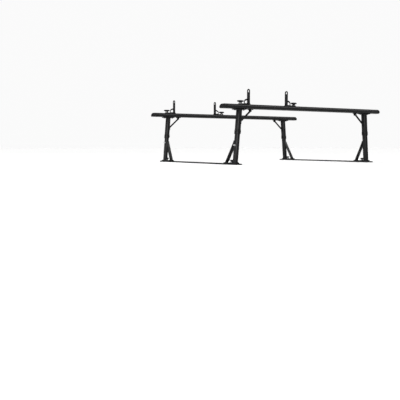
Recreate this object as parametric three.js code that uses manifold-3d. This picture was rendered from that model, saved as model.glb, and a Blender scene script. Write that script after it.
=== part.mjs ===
// Overhead ladder rack for a pickup bed: two base rails, four telescoping uprights on braced
// feet, two crossbars and four sliding load stops.
// Millimetres.  +X points to the vehicle's right, +Y to its front and +Z up.  The origin is the
// middle of the rack, on the plane that the base rails stand on.

import * as THREE from 'three';
import { mergeVertices } from 'three/addons/utils/BufferGeometryUtils.js';
import Module from 'manifold-3d';

const wasm = await Module();
wasm.setup();

// ---------------------------------------------------------------- driving dimensions

const GAP = 0.3; // clearance between pieces that touch

const BAR_LENGTH = 1800; // tip to tip over the end caps
const BAR_DEPTH = 74;
const BAR_HEIGHT = 38;
const BAR_FLAT = 36; // width of the flat land on the top and on the underside
const BAR_NOSE_DROP = 2; // the nose of the section lies this far below its middle
const BAR_WALL = 2.6;
const BAR_SPACING = 1200; // between the two bars, along Y
const BAR_CENTRE_Z = { rear: 480, front: 458 }; // the rear uprights are drawn out a little further
const BAR_MEAN_Z = (BAR_CENTRE_Z.rear + BAR_CENTRE_Z.front) / 2;

const CAP_LENGTH = 45; // end cap, along the bar
const CAP_SLANT = 12; // how much shorter the cap is along its top
const CAP_PLUG = 22; // how far the cap reaches into the bar
const CAP_ROOT = 4; // overlap between the cap's plug and its cover
const CAP_TIP_INSET = 1.5; // blunts the cap's slanted tip

const SLOT_MOUTH = 9.5; // T-slots of the bars and base rails
const SLOT_WIDTH = 20;
const SLOT_LIP = 2.6;
const SLOT_DEPTH = 8;

const RAIL_WIDTH = 50;
const RAIL_HEIGHT = 11;
const RAIL_OVERHANG = 64; // past the centres of the uprights
const RAIL_CHAMFER = 3;

const POST_X_AT_RAIL = 762.5; // upright's centre line on the plane that the rails stand on
const POST_X_AT_BAR = 722; // the same centre line at the bars' mean height
const LEAN = (POST_X_AT_RAIL - POST_X_AT_BAR) / BAR_MEAN_Z; // inward step per unit of height
const POST_WIDTH = 30;
const POST_DEPTH = 52;
const POST_RADIUS = 13;
const POST_WALL = 3;
const POST_TOP_Z = 400;

const SLEEVE_WIDTH = 35;
const SLEEVE_DEPTH = 57;
const SLEEVE_RADIUS = 15.3;
const SLEEVE_WALL = 2.2;
const SLEEVE_DROP = 223; // from the middle of the bar to the sleeve's lower end

const COLLAR_WALL = 1.8;
const COLLAR_HEIGHT = 35;
const COLLAR_DROP = 2; // the collar reaches this far below the sleeve's end
const COLLAR_SLIT = 3;
const SLIT_RADIUS = 0.5;
const COLLAR_LUG = { reach: 6, thickness: 6, height: 20, radius: 2 };

const FOOT_THICKNESS = 8;
const FOOT_WIDTH = 50;
const FOOT_HEEL = 31; // from the post's centre line, away from the brace
const FOOT_TOE = 142; // from the post's centre line, past the brace
const FOOT_RADIUS = 9;
const FOOT_BEVEL = 1.8;
const FOOT_TOP_Z = RAIL_HEIGHT + GAP + FOOT_THICKNESS;

const BRACE_TOP_Z = 200; // where its outer edge meets the post
const BRACE_TOE = 129; // outer edge at the foot, from the post's centre line
const BRACE_CUT = 16; // thickness, measured level
const BRACE_WIDTH = 30;

const SADDLE_THICKNESS = 11;
const SADDLE_TIP_THICKNESS = 6;
const SADDLE_REACH = 58; // each way from the upright, along the bar
const SADDLE_DEPTH = 56;
const SADDLE_SHOULDER = 22; // half length of its thickest part

const STRUT_THICKNESS = 12;
const STRUT_DEPTH = 12;
const STRUT_DROP = 104; // from the bar's underside to the middle of the strut's foot
const STRUT_REACH = 112; // from the upright's centre at the bar to the bracket's middle
const STRUT_EYE_DROP = 15;
const STRUT_PAD = { height: 40, thickness: 5, width: 26 };

const BRACKET_LENGTH = 40;
const BRACKET_DEPTH = 34;
const BRACKET_PLATE = 6;
const BRACKET_RADIUS = 3;
const BRACKET_EAR = { thickness: 5, drop: 24, width: 20 };

const STOP_HEIGHT = 129; // above the bar
const STOP_ARM_THICKNESS = 6.5;
const STOP_ARM_WIDTH = 37; // also the width across the arm's round tip
const STOP_EYE_RADIUS = 9;
const STOP_EYE_DROP = 19.5; // below the arm's tip
const STOP_FOOT_THICKNESS = 7;
const STOP_FOOT_WIDTH = 38;
const STOP_FOOT_REACH = 99; // from the arm's loaded face
const STOP_HEEL = 7; // the foot's step past the arm's loaded face
const STOP_FOOT_RADIUS = 5;
const STOP_WEB = { thickness: 7, height: 52, reach: 48.5, shoulder: 26 };
const STOP_WEB_PULL = { out: 18, drop: 4, side: 1, up: 16 }; // handles of its curved edge
const STOP_WINDOW = { inner: 13.5, outer: 42.5, bottom: 11, innerTop: 38, outerTop: 26 };
const STOP_WINDOW_RADIUS = 5;
const STOP_KNOB_REACH = 86; // from the arm's loaded face to the knob's axis
const STOP_X = { rear: [-626, -228], front: [-655, -179] }; // loaded faces of each pair of arms

// Heights of a knob are above the face that it clamps: its crown is how far its tips lie below
// its top.
const STOP_KNOB = { span: 58, top: 26, crown: 2, tip: 10, under: 10.5, hub: 12.5, depth: 17 };
const FOOT_KNOB = { span: 34, top: 22, crown: 2, tip: 8, under: 9, hub: 8.5, depth: 14 };
const FOOT_KNOB_REACH = 49; // from the post's centre line
const STUD_RADIUS = 4;
const STUD_HOLE_RADIUS = 4.6;
const STUD_CLEARANCE = 0.5; // between a stud's end and the floor of its slot
const SLOT_NUT = { length: 26, width: 18.8, thickness: 4, radius: 2 };

const CUT_MARGIN = 1; // how far a cutting tool runs past the piece it cuts
const ARC_STEPS = 5; // segments in a quarter turn of a section
const ROUND_STEPS = 16; // segments in a full turn of a hole or stud

// ---------------------------------------------------------------- finishes

const FINISHES = {
  coatedMetal: { color: 0x1d1d1f, roughness: 0.45, metalness: 0.5 },
  coatedSteel: { color: 0x18181a, roughness: 0.5, metalness: 0.5 },
  blackPlastic: { color: 0x121213, roughness: 0.6, metalness: 0 },
  zincSteel: { color: 0xb4b8bc, roughness: 0.35, metalness: 0.9 },
};

// ---------------------------------------------------------------- geometry helpers

const vec = (x, y) => new THREE.Vector2(x, y);

function arc(cx, cy, rx, ry, fromDegrees, toDegrees, steps = ARC_STEPS) {
  const points = [];
  for (let i = 0; i <= steps; i += 1) {
    const angle = THREE.MathUtils.degToRad(fromDegrees + ((toDegrees - fromDegrees) * i) / steps);
    points.push(vec(cx + rx * Math.cos(angle), cy + ry * Math.sin(angle)));
  }
  return points;
}

function circle(cx, cy, radius, steps = ROUND_STEPS) {
  return arc(cx, cy, radius, radius, 0, 360 - 360 / steps, steps - 1);
}

function roundedRectangle(width, height, radius, cx = 0, cy = 0) {
  const x = width / 2 - radius;
  const y = height / 2 - radius;
  return [
    ...arc(cx + x, cy + y, radius, radius, 0, 90),
    ...arc(cx - x, cy + y, radius, radius, 90, 180),
    ...arc(cx - x, cy - y, radius, radius, 180, 270),
    ...arc(cx + x, cy - y, radius, radius, 270, 360),
  ];
}

const mirrored = (points) => points.map((p) => vec(-p.x, p.y)).reverse();
const flipped = (points) => points.map((p) => vec(p.x, -p.y)).reverse();

// Rounds every corner of an outline to one radius.
function filleted(corners, radius) {
  return corners.flatMap((corner, i) => {
    const before = corners.at(i - 1).clone().sub(corner).normalize();
    const after = corners[(i + 1) % corners.length].clone().sub(corner).normalize();
    const half = Math.acos(before.dot(after)) / 2;
    const middle = before.clone().add(after).normalize().multiplyScalar(radius / Math.sin(half));
    const centre = corner.clone().add(middle);
    const start = before.multiplyScalar(radius / Math.tan(half)).add(corner).sub(centre);
    const turn = (Math.PI - 2 * half) * -Math.sign(start.cross(middle));
    return Array.from({ length: ARC_STEPS }, (_, step) => {
      return start.clone().rotateAround(vec(0, 0), (turn * step) / (ARC_STEPS - 1)).add(centre);
    });
  });
}

const turnedAnticlockwise = (points) => {
  return THREE.ShapeUtils.isClockWise(points) ? [...points].reverse() : points;
};

function shapeOf(outline, holes) {
  const shape = new THREE.Shape(turnedAnticlockwise(outline));
  for (const hole of holes) {
    shape.holes.push(new THREE.Path(turnedAnticlockwise(hole)));
  }
  return shape;
}

// A prism on the XY plane, from z = bottom to z = top.
function prism(outline, bottom, top, holes = []) {
  const shape = shapeOf(outline, holes);
  const geometry = new THREE.ExtrudeGeometry(shape, { depth: top - bottom, bevelEnabled: false });
  return geometry.translate(0, 0, bottom);
}

// A prism along X: the outline's (u, v) are (y, z), and its length is centred on x = 0.
function prismAlongX(outline, length, holes = []) {
  const geometry = prism(outline, -length / 2, length / 2, holes);
  return geometry.rotateX(Math.PI / 2).rotateZ(Math.PI / 2);
}

// A prism along Y: the outline's (u, v) are (x, z), and its length is centred on y = 0.
function prismAlongY(outline, length, holes = []) {
  return prism(outline, -length / 2, length / 2, holes).rotateX(Math.PI / 2);
}

function rod(radius, bottom, top) {
  return prism(circle(0, 0, radius), bottom, top);
}

// Leans a piece inward by a shear about z = 0, which keeps its level cuts level.
function leaned(geometry, side) {
  const shear = new THREE.Matrix4();
  shear.set(1, 0, -side * LEAN, 0, 0, 1, 0, 0, 0, 0, 1, 0, 0, 0, 0, 1);
  return geometry.applyMatrix4(shear);
}

function solidOf(geometry) {
  const bare = new THREE.BufferGeometry();
  bare.setAttribute('position', geometry.getAttribute('position'));
  bare.setIndex(geometry.getIndex());
  const merged = mergeVertices(bare);
  const vertProperties = new Float32Array(merged.getAttribute('position').array);
  const triVerts = new Uint32Array(merged.getIndex().array);
  return new wasm.Manifold(new wasm.Mesh({ numProp: 3, vertProperties, triVerts }));
}

function geometryOf(solid) {
  const mesh = solid.getMesh();
  const geometry = new THREE.BufferGeometry();
  geometry.setAttribute('position', new THREE.BufferAttribute(mesh.vertProperties, 3));
  geometry.setIndex(new THREE.BufferAttribute(mesh.triVerts, 1));
  return geometry;
}

function joined(first, ...others) {
  let solid = solidOf(first);
  for (const other of others) {
    solid = solid.add(solidOf(other));
  }
  return geometryOf(solid);
}

function cutBy(body, ...tools) {
  let solid = solidOf(body);
  for (const tool of tools) {
    solid = solid.subtract(solidOf(tool));
  }
  return geometryOf(solid);
}

// ---------------------------------------------------------------- base rails

// Low channel with a T-slot along its top.
function baseRail() {
  const half = RAIL_WIDTH / 2;
  const floor = RAIL_HEIGHT - SLOT_DEPTH;
  const lip = RAIL_HEIGHT - SLOT_LIP;
  const outline = [
    vec(-half, 0),
    vec(half, 0),
    vec(half, RAIL_HEIGHT - RAIL_CHAMFER),
    vec(half - RAIL_CHAMFER, RAIL_HEIGHT),
    vec(SLOT_MOUTH / 2, RAIL_HEIGHT),
    vec(SLOT_MOUTH / 2, lip),
    vec(SLOT_WIDTH / 2, lip),
    vec(SLOT_WIDTH / 2, floor),
    vec(-SLOT_WIDTH / 2, floor),
    vec(-SLOT_WIDTH / 2, lip),
    vec(-SLOT_MOUTH / 2, lip),
    vec(-SLOT_MOUTH / 2, RAIL_HEIGHT),
    vec(-half + RAIL_CHAMFER, RAIL_HEIGHT),
    vec(-half, RAIL_HEIGHT - RAIL_CHAMFER),
  ];
  return prismAlongY(outline, BAR_SPACING + 2 * RAIL_OVERHANG);
}

// ---------------------------------------------------------------- braced feet

// Plate that rides on the base rail; facing is the way its brace runs, +1 or -1 along Y.
function foot(facing) {
  const length = FOOT_HEEL + FOOT_TOE;
  const middle = (facing * (FOOT_TOE - FOOT_HEEL)) / 2;
  const outline = roundedRectangle(FOOT_WIDTH, length, FOOT_RADIUS, 0, middle);
  const shape = shapeOf(outline, [circle(0, facing * FOOT_KNOB_REACH, STUD_HOLE_RADIUS)]);
  const geometry = new THREE.ExtrudeGeometry(shape, {
    depth: FOOT_THICKNESS - 2 * FOOT_BEVEL,
    bevelThickness: FOOT_BEVEL,
    bevelSize: FOOT_BEVEL,
    bevelOffset: -FOOT_BEVEL,
    bevelSegments: 1,
  });
  return geometry.translate(0, 0, RAIL_HEIGHT + GAP + FOOT_BEVEL);
}

function post(side) {
  const outer = roundedRectangle(POST_WIDTH, POST_DEPTH, POST_RADIUS);
  const inner = roundedRectangle(
    POST_WIDTH - 2 * POST_WALL,
    POST_DEPTH - 2 * POST_WALL,
    POST_RADIUS - POST_WALL,
  );
  return leaned(prism(outer, FOOT_TOP_Z + GAP, POST_TOP_Z, [inner]), side);
}

// Diagonal from the toe of the foot up to the face of the post.
function brace(side, facing) {
  const face = POST_DEPTH / 2 + GAP;
  const bottom = FOOT_TOP_Z + GAP;
  const rise = (BRACE_TOP_Z - bottom) / (BRACE_TOE - face); // per unit of Y
  const outline = [
    vec(facing * face, BRACE_TOP_Z),
    vec(facing * BRACE_TOE, bottom),
    vec(facing * (BRACE_TOE - BRACE_CUT), bottom),
    vec(facing * face, BRACE_TOP_Z - BRACE_CUT * rise),
  ];
  return leaned(prismAlongX(outline, BRACE_WIDTH), side);
}

// ---------------------------------------------------------------- clamp knobs and slot nuts

// T-handled knob on a stud.  Its hub stands at z = 0, its wings lie along X or along Y.
function clampKnob(knob, studLength, wingsAlongX) {
  const half = knob.span / 2;
  const tipTop = knob.top - knob.crown;
  const right = [
    vec(knob.hub, knob.under),
    vec(half, tipTop - knob.tip),
    vec(half, tipTop),
    vec(knob.hub, knob.top),
  ];
  const wing = [...right, ...mirrored(right)];
  const handle = wingsAlongX ? prismAlongY(wing, knob.depth) : prismAlongX(wing, knob.depth);
  const middle = (knob.under + knob.top) / 2;
  return joined(handle, rod(knob.hub, GAP, middle), rod(STUD_RADIUS, -studLength, middle));
}

function slotNut(alongX) {
  const width = alongX ? SLOT_NUT.length : SLOT_NUT.width;
  const height = alongX ? SLOT_NUT.width : SLOT_NUT.length;
  const outline = roundedRectangle(width, height, SLOT_NUT.radius);
  return prism(outline, 0, SLOT_NUT.thickness, [circle(0, 0, STUD_RADIUS + GAP)]);
}

// ---------------------------------------------------------------- telescoping sleeves
// Sleeves, collars, saddles, struts and brackets are drawn from the middle of the bar's section.

function sleeve(side) {
  const outer = roundedRectangle(SLEEVE_WIDTH, SLEEVE_DEPTH, SLEEVE_RADIUS);
  const inner = roundedRectangle(
    SLEEVE_WIDTH - 2 * SLEEVE_WALL,
    SLEEVE_DEPTH - 2 * SLEEVE_WALL,
    SLEEVE_RADIUS - SLEEVE_WALL,
  );
  const top = -BAR_HEIGHT / 2 - SADDLE_THICKNESS - 2 * GAP;
  return leaned(prism(outer, -SLEEVE_DROP, top, [inner]), side);
}

// Split clamp around the sleeve's lower end, with two lugs on the inboard side.
function collar(side) {
  const bottom = -SLEEVE_DROP - COLLAR_DROP;
  const top = bottom + COLLAR_HEIGHT;
  const inner = roundedRectangle(
    SLEEVE_WIDTH + 2 * GAP,
    SLEEVE_DEPTH + 2 * GAP,
    SLEEVE_RADIUS + GAP,
  );
  const outer = roundedRectangle(
    SLEEVE_WIDTH + 2 * (GAP + COLLAR_WALL),
    SLEEVE_DEPTH + 2 * (GAP + COLLAR_WALL),
    SLEEVE_RADIUS + GAP + COLLAR_WALL,
  );
  const inboard = -side;
  const wallX = SLEEVE_WIDTH / 2 + GAP;
  const lugLength = COLLAR_WALL + COLLAR_LUG.reach;
  const lugX = inboard * (wallX + lugLength / 2 + GAP);
  const lugWidth = COLLAR_SLIT + 2 * COLLAR_LUG.thickness;
  const lugBottom = bottom + (COLLAR_HEIGHT - COLLAR_LUG.height) / 2;
  const lugs = prism(
    roundedRectangle(lugLength, lugWidth, COLLAR_LUG.radius, lugX, 0),
    lugBottom,
    lugBottom + COLLAR_LUG.height,
  );
  const slit = prism(
    roundedRectangle(lugLength + COLLAR_LUG.reach, COLLAR_SLIT, SLIT_RADIUS, lugX, 0),
    bottom - CUT_MARGIN,
    top + CUT_MARGIN,
  );
  const bore = prism(inner, bottom - CUT_MARGIN, top + CUT_MARGIN);
  return leaned(cutBy(joined(prism(outer, bottom, top), lugs), bore, slit), side);
}

// Cradle between the sleeve and the bar, thickest over the sleeve.
function saddle() {
  const top = -BAR_HEIGHT / 2 - GAP;
  const bottom = top - SADDLE_THICKNESS;
  const tip = top - SADDLE_TIP_THICKNESS;
  const outline = [
    vec(-SADDLE_REACH, top),
    vec(-SADDLE_REACH, tip),
    vec(-SADDLE_SHOULDER, bottom),
    vec(SADDLE_SHOULDER, bottom),
    vec(SADDLE_REACH, tip),
    vec(SADDLE_REACH, top),
  ];
  return prismAlongY(outline, SADDLE_DEPTH);
}

// ---------------------------------------------------------------- diagonal struts

// Pad on the sleeve's inboard face, then a straight bar up to an eye below the bracket.
function strut(side) {
  const inboard = -side;
  const footZ = -BAR_HEIGHT / 2 - STRUT_DROP;
  const half = STRUT_THICKNESS / 2;
  const faceAt = (z) => -side * LEAN * z + inboard * (SLEEVE_WIDTH / 2 + GAP);
  const padTop = footZ + STRUT_PAD.height / 2;
  const padBottom = footZ - STRUT_PAD.height / 2;
  const pad = [
    vec(faceAt(padBottom), padBottom),
    vec(faceAt(padTop), padTop),
    vec(faceAt(padTop) + inboard * STRUT_PAD.thickness, padTop),
    vec(faceAt(padBottom) + inboard * STRUT_PAD.thickness, padBottom),
  ];
  const start = vec(faceAt(footZ) + (inboard * STRUT_PAD.thickness) / 2, footZ);
  const eye = vec(inboard * STRUT_REACH, -BAR_HEIGHT / 2 - STRUT_EYE_DROP);
  const run = eye.clone().sub(start);
  const heading = THREE.MathUtils.radToDeg(run.angle());
  const halfMitre = (half * run.length()) / run.x;
  const bar = [
    vec(start.x, start.y - halfMitre),
    ...arc(eye.x, eye.y, half, half, heading - 90, heading + 90, 2 * ARC_STEPS),
    vec(start.x, start.y + halfMitre),
  ];
  return joined(prismAlongY(pad, STRUT_PAD.width), prismAlongY(bar, STRUT_DEPTH));
}

// Plate under the bar with an ear beside the strut's eye.
function strutBracket(side) {
  const x = -side * STRUT_REACH;
  const top = -BAR_HEIGHT / 2 - GAP;
  const plate = prism(
    roundedRectangle(BRACKET_LENGTH, BRACKET_DEPTH, BRACKET_RADIUS, x, 0),
    top - BRACKET_PLATE,
    top,
  );
  const earTop = top - BRACKET_PLATE / 2;
  const earBottom = top - BRACKET_EAR.drop;
  const halfEar = BRACKET_EAR.width / 2;
  const ear = [
    vec(x - halfEar, earTop),
    ...arc(x, earBottom + halfEar, halfEar, halfEar, 180, 360, 2 * ARC_STEPS),
    vec(x + halfEar, earTop),
  ];
  const earY = STRUT_DEPTH / 2 + GAP + BRACKET_EAR.thickness / 2;
  return joined(plate, prismAlongY(ear, BRACKET_EAR.thickness).translate(0, earY, 0));
}

// ---------------------------------------------------------------- crossbars

// Half of the bar's section, from the middle of its top round the nose to the middle of its
// underside, drawn an inset inside the outer surface.
function barNose(inset) {
  const centre = BAR_FLAT / 2;
  const reach = BAR_DEPTH / 2 - centre - inset;
  const rise = BAR_HEIGHT / 2 + BAR_NOSE_DROP - inset;
  const fall = BAR_HEIGHT / 2 - BAR_NOSE_DROP - inset;
  return [
    ...arc(centre, -BAR_NOSE_DROP, reach, rise, 90, 0, ARC_STEPS + 1),
    ...arc(centre, -BAR_NOSE_DROP, reach, fall, 0, -90, ARC_STEPS).slice(1),
  ];
}

// Right half of a T-slot in the top face, from its mouth to the middle of its floor.
function slotHalf() {
  const top = BAR_HEIGHT / 2;
  return [
    vec(SLOT_WIDTH / 2, top - SLOT_DEPTH),
    vec(SLOT_WIDTH / 2, top - SLOT_LIP),
    vec(SLOT_MOUTH / 2, top - SLOT_LIP),
    vec(SLOT_MOUTH / 2, top),
  ];
}

function barOutline() {
  const right = [...slotHalf(), ...barNose(0), ...flipped(slotHalf())];
  return [...right, ...mirrored(right)];
}

// Hollow core: it narrows between the two slots.
function barCore(inset) {
  const slotSide = SLOT_WIDTH / 2 + inset;
  const slotFloor = BAR_HEIGHT / 2 - SLOT_DEPTH - inset;
  const top = BAR_HEIGHT / 2 - inset;
  const right = [
    vec(slotSide, slotFloor),
    vec(slotSide, top),
    ...barNose(inset),
    vec(slotSide, -top),
    vec(slotSide, -slotFloor),
  ];
  return [...right, ...mirrored(right)];
}

function crossbar() {
  return prismAlongX(barOutline(), BAR_LENGTH - 2 * CAP_LENGTH, [barCore(BAR_WALL)]);
}

// Slanted cap whose tip is at its lower edge, with a plug that enters the bar.
function endCap(side) {
  const body = [...barNose(0), ...mirrored(barNose(0))];
  const bodyLength = CAP_LENGTH - GAP;
  const start = BAR_LENGTH / 2 - CAP_LENGTH + GAP;
  const cover = prismAlongX(body, bodyLength).translate(side * (start + bodyLength / 2), 0, 0);
  const plugLength = CAP_PLUG + CAP_ROOT;
  const plug = prismAlongX(barCore(BAR_WALL + GAP), plugLength);
  plug.translate(side * (start + CAP_ROOT - plugLength / 2), 0, 0);
  const angle = Math.atan2(CAP_SLANT, BAR_HEIGHT);
  const knife = new THREE.BoxGeometry(CAP_LENGTH, 2 * BAR_DEPTH, 3 * BAR_HEIGHT);
  knife.translate(CAP_LENGTH / 2, 0, 0).rotateY(-angle);
  knife.translate((BAR_LENGTH - CAP_SLANT) / 2 + CAP_TIP_INSET, 0, 0);
  if (side < 0) {
    knife.rotateZ(Math.PI);
  }
  return cutBy(joined(cover, plug), knife);
}

// ---------------------------------------------------------------- load stops

// Upright plate with a round tip and an eye.
function stopArm(away) {
  const halfWidth = STOP_ARM_WIDTH / 2;
  const outline = [
    vec(halfWidth, GAP),
    ...arc(0, STOP_HEIGHT - halfWidth, halfWidth, halfWidth, 0, 180, 2 * ARC_STEPS),
    vec(-halfWidth, GAP),
  ];
  const eye = circle(0, STOP_HEIGHT - STOP_EYE_DROP, STOP_EYE_RADIUS);
  const arm = prismAlongX(outline, STOP_ARM_THICKNESS, [eye]);
  return arm.translate((away * STOP_ARM_THICKNESS) / 2, 0, 0);
}

function stopFoot(away) {
  const length = STOP_HEEL + STOP_FOOT_REACH;
  const middle = (away * (STOP_FOOT_REACH - STOP_HEEL)) / 2;
  const outline = roundedRectangle(length, STOP_FOOT_WIDTH, STOP_FOOT_RADIUS, middle, 0);
  const hole = circle(away * STOP_KNOB_REACH, 0, STUD_HOLE_RADIUS);
  return prism(outline, GAP, STOP_FOOT_THICKNESS, [hole]);
}

// Thin web with a curved outer edge and a window that leaves a strap all round.
function stopWeb(away) {
  const inside = STOP_ARM_THICKNESS / 2;
  const root = STOP_FOOT_THICKNESS / 2;
  const { height, reach, shoulder } = STOP_WEB;
  const { out, drop, side, up } = STOP_WEB_PULL;
  const edge = new THREE.CubicBezierCurve(
    vec(STOP_ARM_THICKNESS, height),
    vec(STOP_ARM_THICKNESS + out, height - drop),
    vec(reach - side, shoulder + up),
    vec(reach, shoulder),
  ).getPoints(2 * ARC_STEPS);
  const outline = [vec(inside, root), vec(inside, height), ...edge, vec(reach, root)];
  const { inner, outer, bottom, innerTop, outerTop } = STOP_WINDOW;
  const corners = [
    vec(inner, bottom),
    vec(outer, bottom),
    vec(outer, outerTop),
    vec(inner, innerTop),
  ];
  const facingAway = (points) => points.map((p) => vec(away * p.x, p.y));
  const window = facingAway(filleted(corners, STOP_WINDOW_RADIUS));
  return prismAlongY(facingAway(outline), STOP_WEB.thickness, [window]);
}

// Arm, foot and gusset in one casting.  The arm's loaded face is at x = 0 and faces -away.
function loadStop(away) {
  return joined(stopArm(away), stopFoot(away), stopWeb(away));
}

// ---------------------------------------------------------------- assembly

const rack = new THREE.Group();

function addPiece(parent, name, geometry, finish, x = 0, y = 0, z = 0) {
  const mesh = new THREE.Mesh(geometry, new THREE.MeshStandardMaterial(FINISHES[finish]));
  mesh.name = name;
  mesh.position.set(x, y, z);
  parent.add(mesh);
}

function addUpright(endName, end, sideName, side) {
  const name = `${endName}_${sideName}`;
  const facing = -end;
  const upright = new THREE.Group();
  upright.position.set(side * POST_X_AT_RAIL, (end * BAR_SPACING) / 2, 0);
  rack.add(upright);

  addPiece(upright, `${name}_foot`, foot(facing), 'coatedMetal');
  addPiece(upright, `${name}_post`, post(side), 'coatedMetal');
  addPiece(upright, `${name}_brace`, brace(side, facing), 'coatedMetal');
  const knobY = facing * FOOT_KNOB_REACH;
  const footStud = FOOT_THICKNESS + GAP + SLOT_DEPTH - STUD_CLEARANCE;
  const footKnob = clampKnob(FOOT_KNOB, footStud, false);
  addPiece(upright, `${name}_foot_knob`, footKnob, 'blackPlastic', 0, knobY, FOOT_TOP_Z);
  const footNutZ = RAIL_HEIGHT - SLOT_LIP - GAP - SLOT_NUT.thickness;
  addPiece(upright, `${name}_foot_nut`, slotNut(false), 'zincSteel', 0, knobY, footNutZ);

  const barZ = BAR_CENTRE_Z[endName];
  const head = new THREE.Group();
  head.position.set(-side * LEAN * barZ, 0, barZ);
  upright.add(head);
  addPiece(head, `${name}_sleeve`, sleeve(side), 'coatedMetal');
  addPiece(head, `${name}_collar`, collar(side), 'coatedSteel');
  addPiece(head, `${name}_saddle`, saddle(), 'coatedMetal', (side * LEAN * BAR_HEIGHT) / 2);
  addPiece(head, `${name}_strut`, strut(side), 'coatedSteel');
  addPiece(head, `${name}_strut_bracket`, strutBracket(side), 'coatedSteel');
}

function addLoadStop(barGroup, endName, sideName, away, x) {
  const name = `${endName}_${sideName}_stop`;
  const stop = new THREE.Group();
  stop.position.set(x, 0, BAR_HEIGHT / 2);
  barGroup.add(stop);
  addPiece(stop, name, loadStop(away), 'coatedMetal');
  const knobX = away * STOP_KNOB_REACH;
  const studLength = STOP_FOOT_THICKNESS + SLOT_DEPTH - STUD_CLEARANCE;
  const knob = clampKnob(STOP_KNOB, studLength, true);
  addPiece(stop, `${name}_knob`, knob, 'blackPlastic', knobX, 0, STOP_FOOT_THICKNESS);
  const nutZ = -SLOT_LIP - GAP - SLOT_NUT.thickness;
  addPiece(stop, `${name}_nut`, slotNut(true), 'zincSteel', knobX, 0, nutZ);
}

function addCrossbar(endName, end) {
  const barGroup = new THREE.Group();
  barGroup.position.set(0, (end * BAR_SPACING) / 2, BAR_CENTRE_Z[endName]);
  rack.add(barGroup);
  addPiece(barGroup, `${endName}_crossbar`, crossbar(), 'coatedMetal');
  addPiece(barGroup, `${endName}_left_end_cap`, endCap(-1), 'blackPlastic');
  addPiece(barGroup, `${endName}_right_end_cap`, endCap(1), 'blackPlastic');
  const [leftX, rightX] = STOP_X[endName];
  addLoadStop(barGroup, endName, 'left', -1, leftX);
  addLoadStop(barGroup, endName, 'right', 1, rightX);
}

const ENDS = { rear: -1, front: 1 };
const SIDES = { left: -1, right: 1 };

for (const [sideName, side] of Object.entries(SIDES)) {
  addPiece(rack, `${sideName}_base_rail`, baseRail(), 'coatedMetal', side * POST_X_AT_RAIL);
}
for (const [endName, end] of Object.entries(ENDS)) {
  for (const [sideName, side] of Object.entries(SIDES)) {
    addUpright(endName, end, sideName, side);
  }
  addCrossbar(endName, end);
}

export default rack;
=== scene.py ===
# Overhead ladder rack for a pickup bed: its finished surfaces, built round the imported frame.
# Lengths are in millimetres up to the moment a mesh is made, and in metres after it.
# +X points to the vehicle's right, +Y to its front and +Z up.

import math

import bmesh
import bpy
from mathutils import Matrix, Vector


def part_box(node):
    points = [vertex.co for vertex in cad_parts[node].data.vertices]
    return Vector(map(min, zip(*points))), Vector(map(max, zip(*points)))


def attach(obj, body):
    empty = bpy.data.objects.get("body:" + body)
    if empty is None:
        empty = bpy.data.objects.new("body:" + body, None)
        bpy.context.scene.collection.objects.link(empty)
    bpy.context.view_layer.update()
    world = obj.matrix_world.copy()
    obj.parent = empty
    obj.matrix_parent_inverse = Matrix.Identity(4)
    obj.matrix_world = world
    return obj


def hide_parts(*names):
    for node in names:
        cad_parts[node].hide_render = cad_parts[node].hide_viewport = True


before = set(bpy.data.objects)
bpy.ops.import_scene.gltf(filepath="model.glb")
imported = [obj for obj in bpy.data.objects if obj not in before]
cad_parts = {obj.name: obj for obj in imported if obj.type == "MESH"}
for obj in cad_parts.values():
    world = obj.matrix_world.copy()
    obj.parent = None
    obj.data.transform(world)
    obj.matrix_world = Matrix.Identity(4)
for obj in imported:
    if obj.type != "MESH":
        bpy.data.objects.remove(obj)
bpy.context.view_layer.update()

MM = 0.001

# ---------------------------------------------------------------- dimensions

GAP = 0.3

BAR_DEPTH = 74
BAR_HEIGHT = 38
BAR_FLAT = 36
BAR_NOSE_DROP = 2
BAR_WALL = 2.6
SLOT_MOUTH = 9.5
SLOT_WIDTH = 20
SLOT_LIP = 2.6
SLOT_DEPTH = 8
CAP_LENGTH = 45
CAP_SLANT = 12
CAP_PLUG = 22

RAIL_WIDTH = 50
RAIL_HEIGHT = 11
RAIL_CHAMFER = 3
RAIL_COVER = 4

POST_X_AT_RAIL = 762.5
LEAN = (POST_X_AT_RAIL - 722) / 469
POST = {"width": 30, "depth": 52, "radius": 13, "wall": 3}
SLEEVE = {"width": 35, "depth": 57, "radius": 15.3, "wall": 2.2}

FOOT_WIDTH = 50
FOOT_RADIUS = 9
BRACE_TOP_Z = 200
BRACE_TOE = 129
BRACE_CUT = 16
BRACE_WIDTH = 30

SADDLE_THICKNESS = 11
SADDLE_TIP = 6
SADDLE_REACH = 58
SADDLE_DEPTH = 56
SADDLE_SHOULDER = 22

STOP_HEIGHT = 129
ARM_THICKNESS = 6.5
ARM_WIDTH = 37
EYE_RADIUS = 9
EYE_DROP = 19.5
STOP_FOOT = {"thickness": 7, "width": 38, "reach": 99, "heel": 7, "radius": 5}
WEB = {"thickness": 7, "height": 52, "reach": 48.5, "shoulder": 26}
WEB_PULL = {"out": 18, "drop": 4, "side": 1, "up": 16}
WINDOW = {"inner": 13.5, "outer": 42.5, "bottom": 11, "inner_top": 38, "outer_top": 26, "radius": 5}
STUD_HOLE = 4.6

STOP_KNOB = {"span": 58, "top": 26, "crown": 2, "tip": 10, "under": 10.5, "hub": 12.5, "depth": 17}
FOOT_KNOB = {"span": 34, "top": 22, "crown": 2, "tip": 8, "under": 9, "hub": 8.5, "depth": 14}
KNOB_WASHER = 1.6
LOCK_Z = {"rear": 163, "front": 190}

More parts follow.
